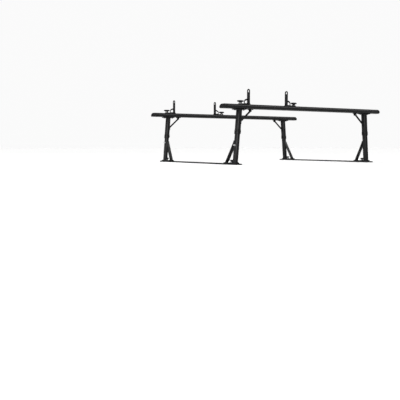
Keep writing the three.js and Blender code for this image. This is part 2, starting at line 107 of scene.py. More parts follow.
STRUT_DEPTH = 12
STRUT_PAD = 5
STRUT_FOOT_DROP = 104
STRUT_BOLT_DROP = 12.5
STRUT_EYE_DROP = 15
BRACKET_EAR = 5
COLLAR_LUG_REACH = 7.5
COLLAR_LUG_OUT = 5
CRADLE_BOLT_RUN = 45
FOOT_BOLT_RUN = 86

WASHER = 1.6
THREAD_PITCH = 1.25
STUD_RADIUS = 4.0
HEX_STEPS = 36
CORNER_STEPS = 8
NOSE_STEPS = 14
BEAD_PITCH = 2.8
BEAD_SIDES = 8

ENDS = {"rear": -1, "front": 1}
SIDES = {"left": -1, "right": 1}


def box_mm(node):
    low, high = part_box(node)
    return low / MM, high / MM


def middle_mm(node):
    low, high = box_mm(node)
    return (low + high) / 2


# ---------------------------------------------------------------- outlines


def arc(cx, cy, rx, ry, start, end, steps):
    points = []
    for i in range(steps + 1):
        angle = math.radians(start + (end - start) * i / steps)
        points.append(Vector((cx + rx * math.cos(angle), cy + ry * math.sin(angle))))
    return points


def circle(cx, cy, radius, steps=32):
    return arc(cx, cy, radius, radius, 0, 360 - 360 / steps, steps - 1)


def rounded_rectangle(width, height, radius, cx=0, cy=0):
    x, y = width / 2 - radius, height / 2 - radius
    steps = CORNER_STEPS
    return (
        arc(cx + x, cy + y, radius, radius, 0, 90, steps)
        + arc(cx - x, cy + y, radius, radius, 90, 180, steps)
        + arc(cx - x, cy - y, radius, radius, 180, 270, steps)
        + arc(cx + x, cy - y, radius, radius, 270, 360, steps)
    )


def mirrored(points):
    return [Vector((-p.x, p.y)) for p in reversed(points)]


def flipped(points):
    return [Vector((p.x, -p.y)) for p in reversed(points)]


def signed_area(loop):
    return sum(loop[i - 1].x * loop[i].y - loop[i].x * loop[i - 1].y for i in range(len(loop))) / 2


def turned(loop, anticlockwise):
    return loop if (signed_area(loop) > 0) == anticlockwise else list(reversed(loop))


def filleted(corners, radius, steps=3):
    """A polygon with every corner rounded; a corner's third number is its own radius."""
    points = []
    count = len(corners)
    for i, corner in enumerate(corners):
        here = Vector(corner[:2])
        back = Vector(corners[i - 1][:2]) - here
        ahead = Vector(corners[(i + 1) % count][:2]) - here
        wanted = corner[2] if len(corner) > 2 else radius
        half = back.angle(ahead) / 2
        if wanted <= 0 or half > math.radians(88):
            points.append(here)
            continue
        run = min(wanted / math.tan(half), 0.45 * back.length, 0.45 * ahead.length)
        bend = run * math.tan(half)
        back.normalize()
        ahead.normalize()
        centre = here + (back + ahead).normalized() * (bend / math.sin(half))
        first = here + back * run - centre
        last = here + ahead * run - centre
        sweep = math.atan2(first.cross(last), first.dot(last))
        for k in range(steps + 1):
            turn = Matrix.Rotation(sweep * k / steps, 2)
            points.append(centre + turn @ first)
    return points


# ---------------------------------------------------------------- solids


def along_x(u, v, w):
    return Vector((w, u, v))


def along_y(u, v, w):
    return Vector((u, w, v))


def along_z(u, v, w):
    return Vector((u, v, w))


def moved(place, offset, side=0):
    """The same placing, shifted, and leaned inward as its side's post is."""
    offset = Vector(offset)

    def placed(u, v, w):
        point = place(u, v, w) + offset
        point.x -= side * LEAN * point.z
        return point

    return placed


def inset_loop(loop, inset):
    """Every point stepped to the left of the loop's own direction."""
    points = []
    for i, here in enumerate(loop):
        first = (here - loop[i - 1]).normalized()
        second = (loop[(i + 1) % len(loop)] - here).normalized()
        left = Vector((-first.y, first.x)) + Vector((-second.y, second.x))
        points.append(here + left * (inset / max(0.4, 1 + first.dot(second))))
    return points


def rim_levels(low, high, rim, steps):
    levels = []
    for k in range(steps + 1):
        angle = math.pi / 2 * k / steps
        levels.append((low + rim * (1 - math.cos(angle)), rim * (1 - math.sin(angle))))
    return levels + [(low + high - w, inset) for w, inset in reversed(levels)]


def add_solid(bm, loops, low, high, place, rim, steps=2):
    """A prism with rounded rims. The first loop is its outline and the others are holes."""
    levels = rim_levels(low, high, rim, steps)
    caps = [[], []]
    for number, loop in enumerate(loops):
        loop = turned(loop, number == 0)
        rings = []
        for w, inset in levels:
            ring = inset_loop(loop, inset) if inset else loop
            rings.append([bm.verts.new(place(p.x, p.y, w)) for p in ring])
        count = len(loop)
        for lower, upper in zip(rings, rings[1:]):
            for i in range(count):
                j = (i + 1) % count
                bm.faces.new((lower[i], lower[j], upper[j], upper[i]))
        for cap, ring in zip(caps, (rings[0], rings[-1])):
            for i in range(count):
                cap.append(bm.edges.get((ring[i], ring[(i + 1) % count])))
    for cap in caps:
        bmesh.ops.triangle_fill(bm, use_beauty=True, edges=cap)


def axis_matrix(centre, axis):
    turn = Vector((0, 0, 1)).rotation_difference(Vector(axis)).to_matrix().to_4x4()
    return Matrix.Translation(Vector(centre)) @ turn


def add_rings(bm, rings):
    """A skin through rings of equal count, closed by a face at each end."""
    made = [[bm.verts.new(p) for p in ring] for ring in rings]
    count = len(made[0])
    for lower, upper in zip(made, made[1:]):
        for i in range(count):
            j = (i + 1) % count
            bm.faces.new((lower[i], lower[j], upper[j], upper[i]))
    bm.faces.new(list(reversed(made[0])))
    bm.faces.new(made[-1])


def add_lathe(bm, profile, centre, axis, segments=28, flutes=0, flute_depth=0.0):
    """Turns (radius, height) points about the axis."""
    matrix = axis_matrix(centre, axis)
    rings = []
    for radius, height in profile:
        ring = []
        for i in range(segments):
            angle = 2 * math.pi * i / segments
            r = radius - (flute_depth * (0.5 + 0.5 * math.cos(flutes * angle)) if flutes else 0)
            ring.append(matrix @ Vector((r * math.cos(angle), r * math.sin(angle), height)))
        rings.append(ring)
    add_rings(bm, rings)


def hex_ring(matrix, flats, limit, height, drop):
    """A ring on a hexagon, no wider than the limit, its corners lower by the drop."""
    ring = []
    for i in range(HEX_STEPS):
        angle = 2 * math.pi * i / HEX_STEPS
        corner = math.radians((math.degrees(angle) % 60) - 30)
        radius = flats / 2 / math.cos(corner)
        low = max(0.0, radius - limit) * drop
        x, y = radius * math.cos(angle), radius * math.sin(angle)
        ring.append(matrix @ Vector((x, y, height - low)))
    return ring


def add_hex_head(bm, centre, axis, flats, height, dished=True):
    """A head or nut that stands on its washer."""
    matrix = axis_matrix(centre, axis)
    limit = flats / 2 * 0.97
    rings = [
        hex_ring(matrix, flats, limit, WASHER, 0),
        hex_ring(matrix, flats, limit, WASHER + height, 0.6),
    ]

    def flat_ring(radius, level):
        ring = []
        for i in range(HEX_STEPS):
            angle = 2 * math.pi * i / HEX_STEPS
            x, y = radius * math.cos(angle), radius * math.sin(angle)
            ring.append(matrix @ Vector((x, y, level)))
        return ring

    rings.append(flat_ring(limit * 0.95, WASHER + height))
    if dished:
        rings.append(flat_ring(limit * 0.7, WASHER + height - 0.1))
        rings.append(flat_ring(limit * 0.62, WASHER + height - 0.5))
    add_rings(bm, rings)


def add_washer(bm, centre, axis, radius, thickness):
    edge = thickness * 0.25
    profile = [
        (radius - edge, 0),
        (radius, edge),
        (radius, thickness - edge),
        (radius - edge, thickness),
        (radius * 0.5, thickness),
    ]
    add_lathe(bm, profile, centre, axis)


def add_thread(bm, centre, axis, radius, low, high):
    profile = [(radius * 0.8, low)]
    height = low + 0.4
    while height + THREAD_PITCH < high:
        profile.append((radius, height))
        profile.append((radius * 0.88, height + THREAD_PITCH / 2))
        height += THREAD_PITCH
    profile += [(radius * 0.98, high - 0.6), (radius * 0.75, high)]
    add_lathe(bm, profile, centre, axis, 20)


def add_bolt(bm, centre, axis, flats, head, washer):
    add_washer(bm, centre, axis, washer, WASHER)
    add_hex_head(bm, centre, axis, flats, head)


def add_nut(bm, centre, axis, flats, height, washer, thread, stud):
    add_washer(bm, centre, axis, washer, WASHER)
    add_hex_head(bm, centre, axis, flats, height, dished=False)
    add_thread(bm, centre, axis, stud, height, WASHER + height + thread)


def add_bead(bm, path, radius):
    """A weld bead along a closed path, with the ripples of its runs."""
    length = sum((path[i] - path[i - 1]).length for i in range(len(path)))
    count = max(24, int(length / 0.9))
    step = length / count
    points = []
    walked, i, here = 0.0, 0, path[0]
    for k in range(count):
        target = k * step
        while True:
            span = (path[(i + 1) % len(path)] - path[i]).length
            if walked + span >= target or i == len(path) - 1:
                break
            walked += span
            i += 1
        along = (target - walked) / span if span else 0
        points.append(path[i].lerp(path[(i + 1) % len(path)], min(1.0, along)))
    rings = []
    plane = Vector((0, 0, 0))
    for k in range(count):
        plane += points[k - 1].cross(points[k])
    plane.normalize()
    for k in range(count):
        tangent = (points[(k + 1) % count] - points[k - 1]).normalized()
        across = plane.cross(tangent).normalized()
        ripple = 0.86 + 0.14 * abs(math.sin(math.pi * k * step / BEAD_PITCH))
        wander = 1 + 0.06 * math.sin(k * 0.37) + 0.04 * math.sin(k * 0.91 + 1.3)
        r = radius * ripple * wander
        ring = []
        for j in range(BEAD_SIDES):
            angle = 2 * math.pi * j / BEAD_SIDES
            ring.append(points[k] + across * (r * math.cos(angle)) + plane * (r * math.sin(angle)))
        rings.append([bm.verts.new(p) for p in ring])
    for k in range(count):
        lower, upper = rings[k - 1], rings[k]
        for j in range(BEAD_SIDES):
            m = (j + 1) % BEAD_SIDES
            bm.faces.new((lower[j], lower[m], upper[m], upper[j]))


# ---------------------------------------------------------------- pieces


def mesh_from(bm, name, sharp=35):
    bmesh.ops.recalc_face_normals(bm, faces=bm.faces)
    bmesh.ops.scale(bm, vec=(MM, MM, MM), verts=bm.verts)
    mesh = bpy.data.meshes.new(name)
    bm.to_mesh(mesh)
    bm.free()
    mesh.shade_smooth()
    mesh.set_sharp_from_angle(angle=math.radians(sharp))
    return mesh


def fused(mesh, name, voxel, rounds):
    """Melts overlapping solids into one skin with the soft corners of a casting or moulding."""
    source = bpy.data.objects.new(name + "_source", mesh)
    bpy.context.scene.collection.objects.link(source)
    remesh = source.modifiers.new("remesh", "REMESH")
    remesh.mode = "VOXEL"
    remesh.voxel_size = voxel * MM
    smooth = source.modifiers.new("smooth", "SMOOTH")
    smooth.factor = 0.5
    smooth.iterations = rounds
    bpy.context.view_layer.update()
    graph = bpy.context.evaluated_depsgraph_get()
    made = bpy.data.meshes.new_from_object(source.evaluated_get(graph))
    made.name = name
    bpy.data.objects.remove(source)
    made.shade_smooth()
    return made


def softened(node, width):
    """The CAD piece with its sharp edges rounded."""
    bm = bmesh.new()
    bm.from_mesh(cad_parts[node].data)
    bmesh.ops.remove_doubles(bm, verts=bm.verts, dist=2e-5)
    bmesh.ops.dissolve_limit(bm, angle_limit=math.radians(1), verts=bm.verts, edges=bm.edges)
    sharp = [e for e in bm.edges if e.calc_face_angle(0) > math.radians(28)]
    bmesh.ops.bevel(
        bm,
        geom=sharp,
        offset=width * MM,
        offset_type="OFFSET",
        segments=2,
        profile=0.5,
        affect="EDGES",
        clamp_overlap=True,
    )
    bmesh.ops.scale(bm, vec=(1 / MM, 1 / MM, 1 / MM), verts=bm.verts)
    return mesh_from(bm, node)


def show(name, mesh, body, material, replaced=()):
    piece = bpy.data.objects.new(name, mesh)
    bpy.context.scene.collection.objects.link(piece)
    mesh.materials.clear()
    mesh.materials.append(material)
    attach(piece, body)
    if replaced:
        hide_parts(*replaced)


# ---------------------------------------------------------------- materials


class Graph:
    """A material's node tree, with short calls for the nodes used here."""

    def __init__(self, name, colour, metallic, roughness, specular):
        self.material = bpy.data.materials.new(name)
        self.material.use_nodes = True
        self.nodes = self.material.node_tree.nodes
        self.links = self.material.node_tree.links
        self.shader = self.nodes["Principled BSDF"]
        self.shader.inputs["Base Color"].default_value = (*colour, 1)
        self.shader.inputs["Metallic"].default_value = metallic
        self.shader.inputs["Roughness"].default_value = roughness
        self.shader.inputs["Specular IOR Level"].default_value = specular
        self.material.diffuse_color = (*colour, 1)
        self.place = self.nodes.new("ShaderNodeTexCoord").outputs["Object"]

    def join(self, output, socket):
        self.links.new(output, socket)

    def stretched(self, scale):
        node = self.nodes.new("ShaderNodeMapping")
        node.inputs["Scale"].default_value = scale
        self.join(self.place, node.inputs["Vector"])
        return node.outputs["Vector"]

    def noise(self, scale, detail=3, roughness=0.5, where=None):
        node = self.nodes.new("ShaderNodeTexNoise")
        node.inputs["Scale"].default_value = scale
        node.inputs["Detail"].default_value = detail
        node.inputs["Roughness"].default_value = roughness
        self.join(where or self.place, node.inputs["Vector"])
        return node.outputs["Fac"]

    def cells(self, scale):
        node = self.nodes.new("ShaderNodeTexVoronoi")
        node.inputs["Scale"].default_value = scale
        self.join(self.place, node.inputs["Vector"])
        return node.outputs["Distance"]

    def ranged(self, value, low, high, to_low, to_high):
        node = self.nodes.new("ShaderNodeMapRange")
        node.inputs["From Min"].default_value = low
        node.inputs["From Max"].default_value = high
        node.inputs["To Min"].default_value = to_low
        node.inputs["To Max"].default_value = to_high
        self.join(value, node.inputs["Value"])
        return node.outputs["Result"]

    def times(self, first, second):
        node = self.nodes.new("ShaderNodeMath")
        node.operation = "MULTIPLY"
        self.join(first, node.inputs[0])
        self.join(second, node.inputs[1])
        return node.outputs[0]

    def plus(self, first, second):
        node = self.nodes.new("ShaderNodeMath")
        node.operation = "ADD"
        node.use_clamp = True
        self.join(first, node.inputs[0])
        self.join(second, node.inputs[1])
        return node.outputs[0]

    def blended(self, factor, first, second):
        """First and second are colours or colour outputs."""
        node = self.nodes.new("ShaderNodeMix")
        node.data_type = "RGBA"
        self.join(factor, node.inputs["Factor"])
        for value, socket in ((first, node.inputs[6]), (second, node.inputs[7])):
            if isinstance(value, tuple):
                socket.default_value = (*value, 1)
            else:
                self.join(value, socket)
        return node.outputs[2]

    def facing_up(self, low, high):
        geometry = self.nodes.new("ShaderNodeNewGeometry")
        split = self.nodes.new("ShaderNodeSeparateXYZ")
        self.join(geometry.outputs["Normal"], split.inputs[0])
        return self.ranged(split.outputs["Z"], low, high, 0, 1)

    def edges(self, low, high):
        geometry = self.nodes.new("ShaderNodeNewGeometry")
        return self.ranged(geometry.outputs["Pointiness"], low, high, 0, 1)

    def bump(self, height, strength, distance, under=None):
        node = self.nodes.new("ShaderNodeBump")
        node.inputs["Strength"].default_value = strength
        node.inputs["Distance"].default_value = distance
        self.join(height, node.inputs["Height"])
        if under is not None:
            self.join(under, node.inputs["Normal"])
        return node.outputs["Normal"]

    def finish(self, colour=None, roughness=None, normal=None):
        if colour is not None:
            self.join(colour, self.shader.inputs["Base Color"])
        if roughness is not None:
            self.join(roughness, self.shader.inputs["Roughness"])
        if normal is not None:
            self.join(normal, self.shader.inputs["Normal"])
        return self.material


def powder_coat(name, colour, smooth, rough, worn_edges=False, scuffed=False):
    """Satin black powder coat: orange peel, cloudy gloss, a breath of dust on what faces up."""
    g = Graph(name, colour, 0.0, (smooth + rough) / 2, 0.13)
    cloud = g.noise(9, 5, 0.6)
    darker = tuple(c * 0.72 for c in colour)
    lighter = tuple(c * 1.35 for c in colour)
    shade = g.blended(g.ranged(cloud, 0.35, 0.65, 0, 1), darker, lighter)
    dust = g.times(g.facing_up(0.75, 1.0), g.ranged(g.noise(38, 6, 0.7), 0.45, 0.75, 0.0, 0.3))
    shade = g.blended(dust, shade, (0.075, 0.071, 0.066))
    gloss = g.ranged(g.noise(55, 4, 0.6), 0.3, 0.7, smooth, rough)
    gloss = g.plus(gloss, g.times(dust, g.ranged(cloud, 0, 1, 0.4, 0.6)))
    if worn_edges:
        wear = g.times(g.edges(0.525, 0.6), g.ranged(g.noise(120, 5, 0.7), 0.42, 0.6, 0, 0.8))
        shade = g.blended(wear, shade, (0.085, 0.084, 0.082))
    if scuffed:
        streaks = g.noise(1, 4, 0.65, g.stretched((5, 420, 420)))
        rubbed = g.times(g.facing_up(0.9, 1.0), g.ranged(streaks, 0.58, 0.7, 0, 0.55))
        shade = g.blended(rubbed, shade, (0.07, 0.07, 0.072))
        gloss = g.plus(gloss, g.times(rubbed, g.ranged(cloud, 0, 1, 0.15, 0.25)))
    peel = g.bump(g.noise(620, 2, 0.5), 0.22, 0.0004)
    grit = g.bump(g.noise(2400, 2, 0.5), 0.1, 0.0002, peel)
    return g.finish(shade, gloss, grit)


def moulded(name, colour, smooth, rough, grain):
    """Moulded black plastic with a spark-eroded grain."""
    g = Graph(name, colour, 0.0, (smooth + rough) / 2, 0.12)
    cloud = g.noise(30, 4, 0.6)
    faded = tuple(c * 1.5 for c in colour)
    shade = g.blended(g.ranged(cloud, 0.35, 0.7, 0, 1), colour, faded)
    dust = g.times(g.facing_up(0.6, 1.0), g.ranged(g.noise(90, 5, 0.7), 0.45, 0.75, 0, 0.25))
    shade = g.blended(dust, shade, (0.07, 0.067, 0.062))
    gloss = g.ranged(g.noise(140, 3, 0.6), 0.3, 0.7, smooth, rough)
    pitted = g.bump(g.cells(grain), 0.35, 0.0003)
    flow = g.bump(g.noise(24, 2, 0.5), 0.08, 0.001, pitted)
    return g.finish(shade, gloss, flow)


def plated(name):
    """Bright zinc plate with a faint yellow and blue passivation."""
    g = Graph(name, (0.6, 0.61, 0.62), 1.0, 0.3, 0.5)
    tint = g.blended(
        g.ranged(g.noise(260, 4, 0.6), 0.35, 0.65, 0, 1), (0.64, 0.62, 0.56), (0.56, 0.6, 0.66)
    )
    dull = g.ranged(g.noise(500, 5, 0.7), 0.5, 0.72, 0, 0.6)
    shade = g.blended(dull, tint, (0.4, 0.4, 0.4))
    gloss = g.ranged(g.noise(700, 4, 0.6), 0.3, 0.7, 0.2, 0.42)
    brushed = g.bump(g.noise(900, 2, 0.5), 0.15, 0.0002)
    return g.finish(shade, gloss, brushed)


BLACK = (0.0048, 0.0048, 0.0052)
bar_coat = powder_coat("bar_coat", BLACK, 0.34, 0.46, scuffed=True)
frame_coat = powder_coat("frame_coat", BLACK, 0.36, 0.5)
steel_coat = powder_coat("steel_coat", (0.0035, 0.0035, 0.0038), 0.42, 0.56)
cast_coat = powder_coat("cast_coat", (0.0042, 0.0042, 0.0046), 0.4, 0.55, worn_edges=True)
cap_plastic = moulded("cap_plastic", (0.003, 0.003, 0.0033), 0.42, 0.56, 1500)
knob_plastic = moulded("knob_plastic", (0.0035, 0.0035, 0.0038), 0.5, 0.64, 1900)
zinc = plated("zinc")


# ---------------------------------------------------------------- crossbars


def bar_nose(inset):
    """Half of the wing section, round one nose from its top land to its bottom land."""
    land = BAR_FLAT / 2
    reach = BAR_DEPTH / 2 - land - inset
    rise = BAR_HEIGHT / 2 + BAR_NOSE_DROP - inset
    fall = BAR_HEIGHT / 2 - BAR_NOSE_DROP - inset
    upper = arc(land, -BAR_NOSE_DROP, reach, rise, 90, 0, NOSE_STEPS)
    lower = arc(land, -BAR_NOSE_DROP, reach, fall, 0, -90, NOSE_STEPS - 2)
    return upper + lower[1:]


def slot_half():
    """Half of the T-slot in the top land, with its lips rounded."""
    top = BAR_HEIGHT / 2
    corners = [
        (0, top - SLOT_DEPTH, 0),
        (SLOT_WIDTH / 2, top - SLOT_DEPTH, 1.0),
        (SLOT_WIDTH / 2, top - SLOT_LIP, 0.5),
        (SLOT_MOUTH / 2, top - SLOT_LIP, 0.4),
        (SLOT_MOUTH / 2, top, 0.8),
        (SLOT_WIDTH, top, 0),
    ]
    return filleted(corners, 0.5)[1:-1]


def bar_outline():
    right = slot_half() + bar_nose(0) + flipped(slot_half())
    return right + mirrored(right)


def bar_core(inset):
    side = SLOT_WIDTH / 2 + inset
    floor = BAR_HEIGHT / 2 - SLOT_DEPTH - inset
    top = BAR_HEIGHT / 2 - inset
    right = [Vector((side, floor)), Vector((side, top))]
    right += bar_nose(inset)
    right += [Vector((side, -top)), Vector((side, -floor))]
    return right + mirrored(right)


def crossbar(end):
    node = f"{end}_crossbar"
    low, high = box_mm(node)
    centre = (low + high) / 2
    bm = bmesh.new()
    place = moved(along_x, (0, centre.y, centre.z))
    add_solid(bm, [bar_outline(), bar_core(BAR_WALL)], low.x, high.x, place, 0.3, 1)
    return mesh_from(bm, node)


def cap_ring(inset):
    half = bar_nose(inset)
    return half + mirrored(half)


def end_cap(end, side_name, side):
    """Slanted cap, its rim rolled over, with a shallow band where it meets the bar."""
    node = f"{end}_{side_name}_end_cap"
    bar_low, bar_high = box_mm(f"{end}_crossbar")
    centre = (bar_low + bar_high) / 2
    low, high = box_mm(node)
    tip = high.x if side > 0 else -low.x
    start = bar_high.x + GAP
    roll = 3.5

    def section(along, inset, slanted):
        ring = []
        for p in cap_ring(inset):
            lost = CAP_SLANT * ((p.y + BAR_HEIGHT / 2) / BAR_HEIGHT) ** 2 if slanted else 0
            ring.append(Vector((side * (along - lost), centre.y + p.x, centre.z + p.y)))
        return ring

    rings = [
        section(start, 0.5, False),
        section(start + 0.3, 0.1, False),
        section(start + 3.2, 0.1, False),
    ]
    rings += [
        section(start + 3.6, 0.7, False),
        section(start + 4.6, 0.7, False),
        section(start + 5, 0, False),
    ]
    for k in range(9):
        angle = math.pi / 2 * k / 8
        along = tip - roll * (1 - math.sin(angle)) - 0.2
        rings.append(section(along, roll * (1 - math.cos(angle)), True))
    rings.append(section(tip - 0.1, roll + 1.6, True))
    bm = bmesh.new()
    add_rings(bm, rings)
    plug_low, plug_high = start - CAP_PLUG, start - 0.1
    if side < 0:
        plug_low, plug_high = -plug_high, -plug_low
    add_solid(
        bm,
        [bar_core(BAR_WALL + GAP)],
        plug_low,
        plug_high,
        moved(along_x, (0, centre.y, centre.z)),
        0.8,
    )
    return mesh_from(bm, node, 40)


# ---------------------------------------------------------------- base rails


def base_rail(side_name):
    node = f"{side_name}_base_rail"
    low, high = box_mm(node)
    centre = (low + high) / 2
    half = RAIL_WIDTH / 2
    floor = RAIL_HEIGHT - SLOT_DEPTH
    lip = RAIL_HEIGHT - SLOT_LIP
    right = [
        (half, 0, 0.8),
        (half, RAIL_HEIGHT - RAIL_CHAMFER, 1.2),
        (half - RAIL_CHAMFER, RAIL_HEIGHT, 1.2),
        (SLOT_MOUTH / 2, RAIL_HEIGHT, 0.6),
        (SLOT_MOUTH / 2, lip, 0.4),
        (SLOT_WIDTH / 2, lip, 0.4),
        (SLOT_WIDTH / 2, floor, 0.8),
    ]
    left = [(-x, y, r) for x, y, r in reversed(right)]
    bm = bmesh.new()
    place = moved(along_y, (centre.x, 0, 0))
    outline = filleted(right + left, 0.5)
    add_solid(bm, [outline], low.y + RAIL_COVER, high.y - RAIL_COVER, place, 0.3, 1)
    return mesh_from(bm, node)


def rail_covers(side_name):
    """Moulded covers on the rail's two ends."""
    low, high = box_mm(f"{side_name}_base_rail")
    centre = (low + high) / 2
    half = RAIL_WIDTH / 2
    corners = [
        (-half, 0, 0.8),
        (half, 0, 0.8),
        (half, RAIL_HEIGHT - RAIL_CHAMFER, 1.4),
        (half - RAIL_CHAMFER, RAIL_HEIGHT, 1.4),
        (RAIL_CHAMFER - half, RAIL_HEIGHT, 1.4),
        (-half, RAIL_HEIGHT - RAIL_CHAMFER, 1.4),
    ]
    bm = bmesh.new()
    for start in (low.y, high.y - RAIL_COVER):
        place = moved(along_y, (centre.x, 0, 0))
        add_solid(bm, [filleted(corners, 1)], start + 0.1, start + RAIL_COVER - 0.1, place, 1.2)
    return mesh_from(bm, f"{side_name}_rail_covers")


def cover_screws(side_name):
    low, high = box_mm(f"{side_name}_base_rail")
    x = (low.x + high.x) / 2
    bm = bmesh.new()
    for y, axis in ((low.y + 0.4, (0, -1, 0)), (high.y - 0.4, (0, 1, 0))):
        for step in (-17, 17):
            add_lathe(
                bm,
                [(2.4, -1.5), (2.4, 0.1), (1.9, 0.35), (0.9, 0.38)],
                (x + step, y, RAIL_HEIGHT / 2),
                axis,
                20,
            )
    return mesh_from(bm, f"{side_name}_rail_cover_screws")


# ---------------------------------------------------------------- uprights


def post_point(side, z):
    """X of the leaning centre line at a height."""
    return side * (POST_X_AT_RAIL - LEAN * z)


def tube(node, section, side, y):
    low, high = box_mm(node)
    outer = rounded_rectangle(section["width"], section["depth"], section["radius"])
    wall = section["wall"]
    inner = rounded_rectangle(
        section["width"] - 2 * wall, section["depth"] - 2 * wall, section["radius"] - wall
    )
    bm = bmesh.new()
    place = moved(along_z, (side * POST_X_AT_RAIL, y, 0), side)
    add_solid(bm, [outer, inner], low.z, high.z, place, 0.5)
    return mesh_from(bm, node)


def foot_plate(node, side, y, facing, knob_y):
    low, high = box_mm(node)
    length = high.y - low.y
    outline = rounded_rectangle(FOOT_WIDTH, length, FOOT_RADIUS, 0, (low.y + high.y) / 2 - y)
    hole = circle(0, knob_y - y, STUD_HOLE, 24)
    bm = bmesh.new()
    add_solid(
        bm, [outline, hole], low.z, high.z, moved(along_z, (side * POST_X_AT_RAIL, y, 0)), 1.8, 3
    )
    return mesh_from(bm, node)


def brace_outline(facing, foot_top):
    face = POST["depth"] / 2 + GAP
    bottom = foot_top + GAP
    rise = (BRACE_TOP_Z - bottom) / (BRACE_TOE - face)
    return [
        (facing * face, BRACE_TOP_Z),
        (facing * BRACE_TOE, bottom),
        (facing * (BRACE_TOE - BRACE_CUT), bottom),
        (facing * face, BRACE_TOP_Z - BRACE_CUT * rise),
    ]


def brace(node, side, y, facing, foot_top):
    bm = bmesh.new()
    place = moved(along_x, (side * POST_X_AT_RAIL, y, 0), side)
    half = BRACE_WIDTH / 2
    add_solid(bm, [filleted(brace_outline(facing, foot_top), 0.4, 2)], -half, half, place, 3.2, 3)
    return mesh_from(bm, node)


def welds(name, side, y, facing, foot_top):
    """Fillet welds round the post's foot and both ends of the brace."""
    bm = bmesh.new()
    base = side * POST_X_AT_RAIL
    level = foot_top + 0.6
    around = rounded_rectangle(POST["width"] + 1, POST["depth"] + 1, POST["radius"])
    add_bead(bm, [Vector((base + p.x - side * LEAN * level, y + p.y, level)) for p in around], 2.4)
    middle = facing * (BRACE_TOE - BRACE_CUT / 2)
    around = rounded_rectangle(BRACE_WIDTH + 1, BRACE_CUT + 1, 3.5, 0, middle)
    add_bead(bm, [Vector((base + p.x - side * LEAN * level, y + p.y, level)) for p in around], 2.2)
    corners = brace_outline(facing, foot_top)
    top, bottom = corners[0][1], corners[3][1]
    around = rounded_rectangle(BRACE_WIDTH - 3, top - bottom + 1, 4, 0, (top + bottom) / 2)
    face = y + facing * (POST["depth"] / 2 + 0.4)
    add_bead(bm, [Vector((base + p.x - side * LEAN * p.y, face, p.y)) for p in around], 2.0)
    return mesh_from(bm, name, 60)


def frame_bolts(name, side, y, facing, foot_top, height):
    """The height lock's nut on the post's outboard face, and the foot's locating screw."""
    bm = bmesh.new()
    x = post_point(side, height) + side * POST["width"] / 2
    tilt = Vector((side, 0, LEAN)).normalized()
    add_nut(bm, (x, y, height), tilt, 13, 7, 8.5, 8, STUD_RADIUS)
    foot_x = side * POST_X_AT_RAIL
    add_bolt(bm, (foot_x, y + facing * FOOT_BOLT_RUN, foot_top), (0, 0, 1), 13, 5, 9)
    return mesh_from(bm, name, 30)


# ---------------------------------------------------------------- heads of the uprights


def saddle(node, x, y, top):
    """Cradle casting: a trough section with sloping wings, its edges rounded."""
    bottom = top - SADDLE_THICKNESS
    tip = top - SADDLE_TIP
    corners = [
        (-SADDLE_REACH, top, 0.8),
        (-SADDLE_REACH, tip, 3),
        (-SADDLE_SHOULDER, bottom, 8),
        (SADDLE_SHOULDER, bottom, 8),
        (SADDLE_REACH, tip, 3),
        (SADDLE_REACH, top, 0.8),
    ]
    bm = bmesh.new()
    add_solid(
        bm,
        [filleted(corners, 1, 4)],
        -SADDLE_DEPTH / 2,
        SADDLE_DEPTH / 2,
        moved(along_y, (x, y, 0)),
        2.2,
        3,
    )
    return mesh_from(bm, node)


def saddle_bolts(name, x, y, top):
    """Coated bolts that go up through the cradle's wings into the bar's lower slot."""
    bm = bmesh.new()
    slope = (SADDLE_THICKNESS - SADDLE_TIP) / (SADDLE_REACH - SADDLE_SHOULDER)
    level = top - SADDLE_TIP - slope * (SADDLE_REACH - CRADLE_BOLT_RUN) + 0.4
    for run in (-CRADLE_BOLT_RUN, CRADLE_BOLT_RUN):
        add_bolt(bm, (x + run, y, level), (0, 0, -1), 10, 4, 7)
    return mesh_from(bm, name, 30)


def head_bolts(name, y, side, collar_z, foot_z, eye):
    """Bolts of strut pad, strut eye, bracket and collar."""
    bm = bmesh.new()
    inboard = -side
    sleeve_face = SLEEVE["width"] / 2 + GAP
    face = Vector((inboard, 0, -LEAN)).normalized()
    z = foot_z - STRUT_BOLT_DROP
    pad_x = post_point(side, z) + inboard * (sleeve_face + STRUT_PAD)
    add_bolt(bm, (pad_x, y, z), face, 13, 5, 8.5)
    half = STRUT_DEPTH / 2
    add_bolt(bm, (eye.x, eye.y - half, eye.z), (0, -1, 0), 11, 4.5, 7.5)
    ear_face = eye.y + half + GAP + BRACKET_EAR
    add_nut(bm, (eye.x, ear_face, eye.z), (0, 1, 0), 11, 5, 7.5, 2, 3)
    lug_x = post_point(side, collar_z) + inboard * (sleeve_face + COLLAR_LUG_OUT)
    add_bolt(bm, (lug_x, y - COLLAR_LUG_REACH, collar_z), (0, -1, 0), 8, 3.5, 5)
    add_nut(bm, (lug_x, y + COLLAR_LUG_REACH, collar_z), (0, 1, 0), 8, 4, 5, 2.5, 2.5)
    return mesh_from(bm, name, 30)


# ---------------------------------------------------------------- load stops


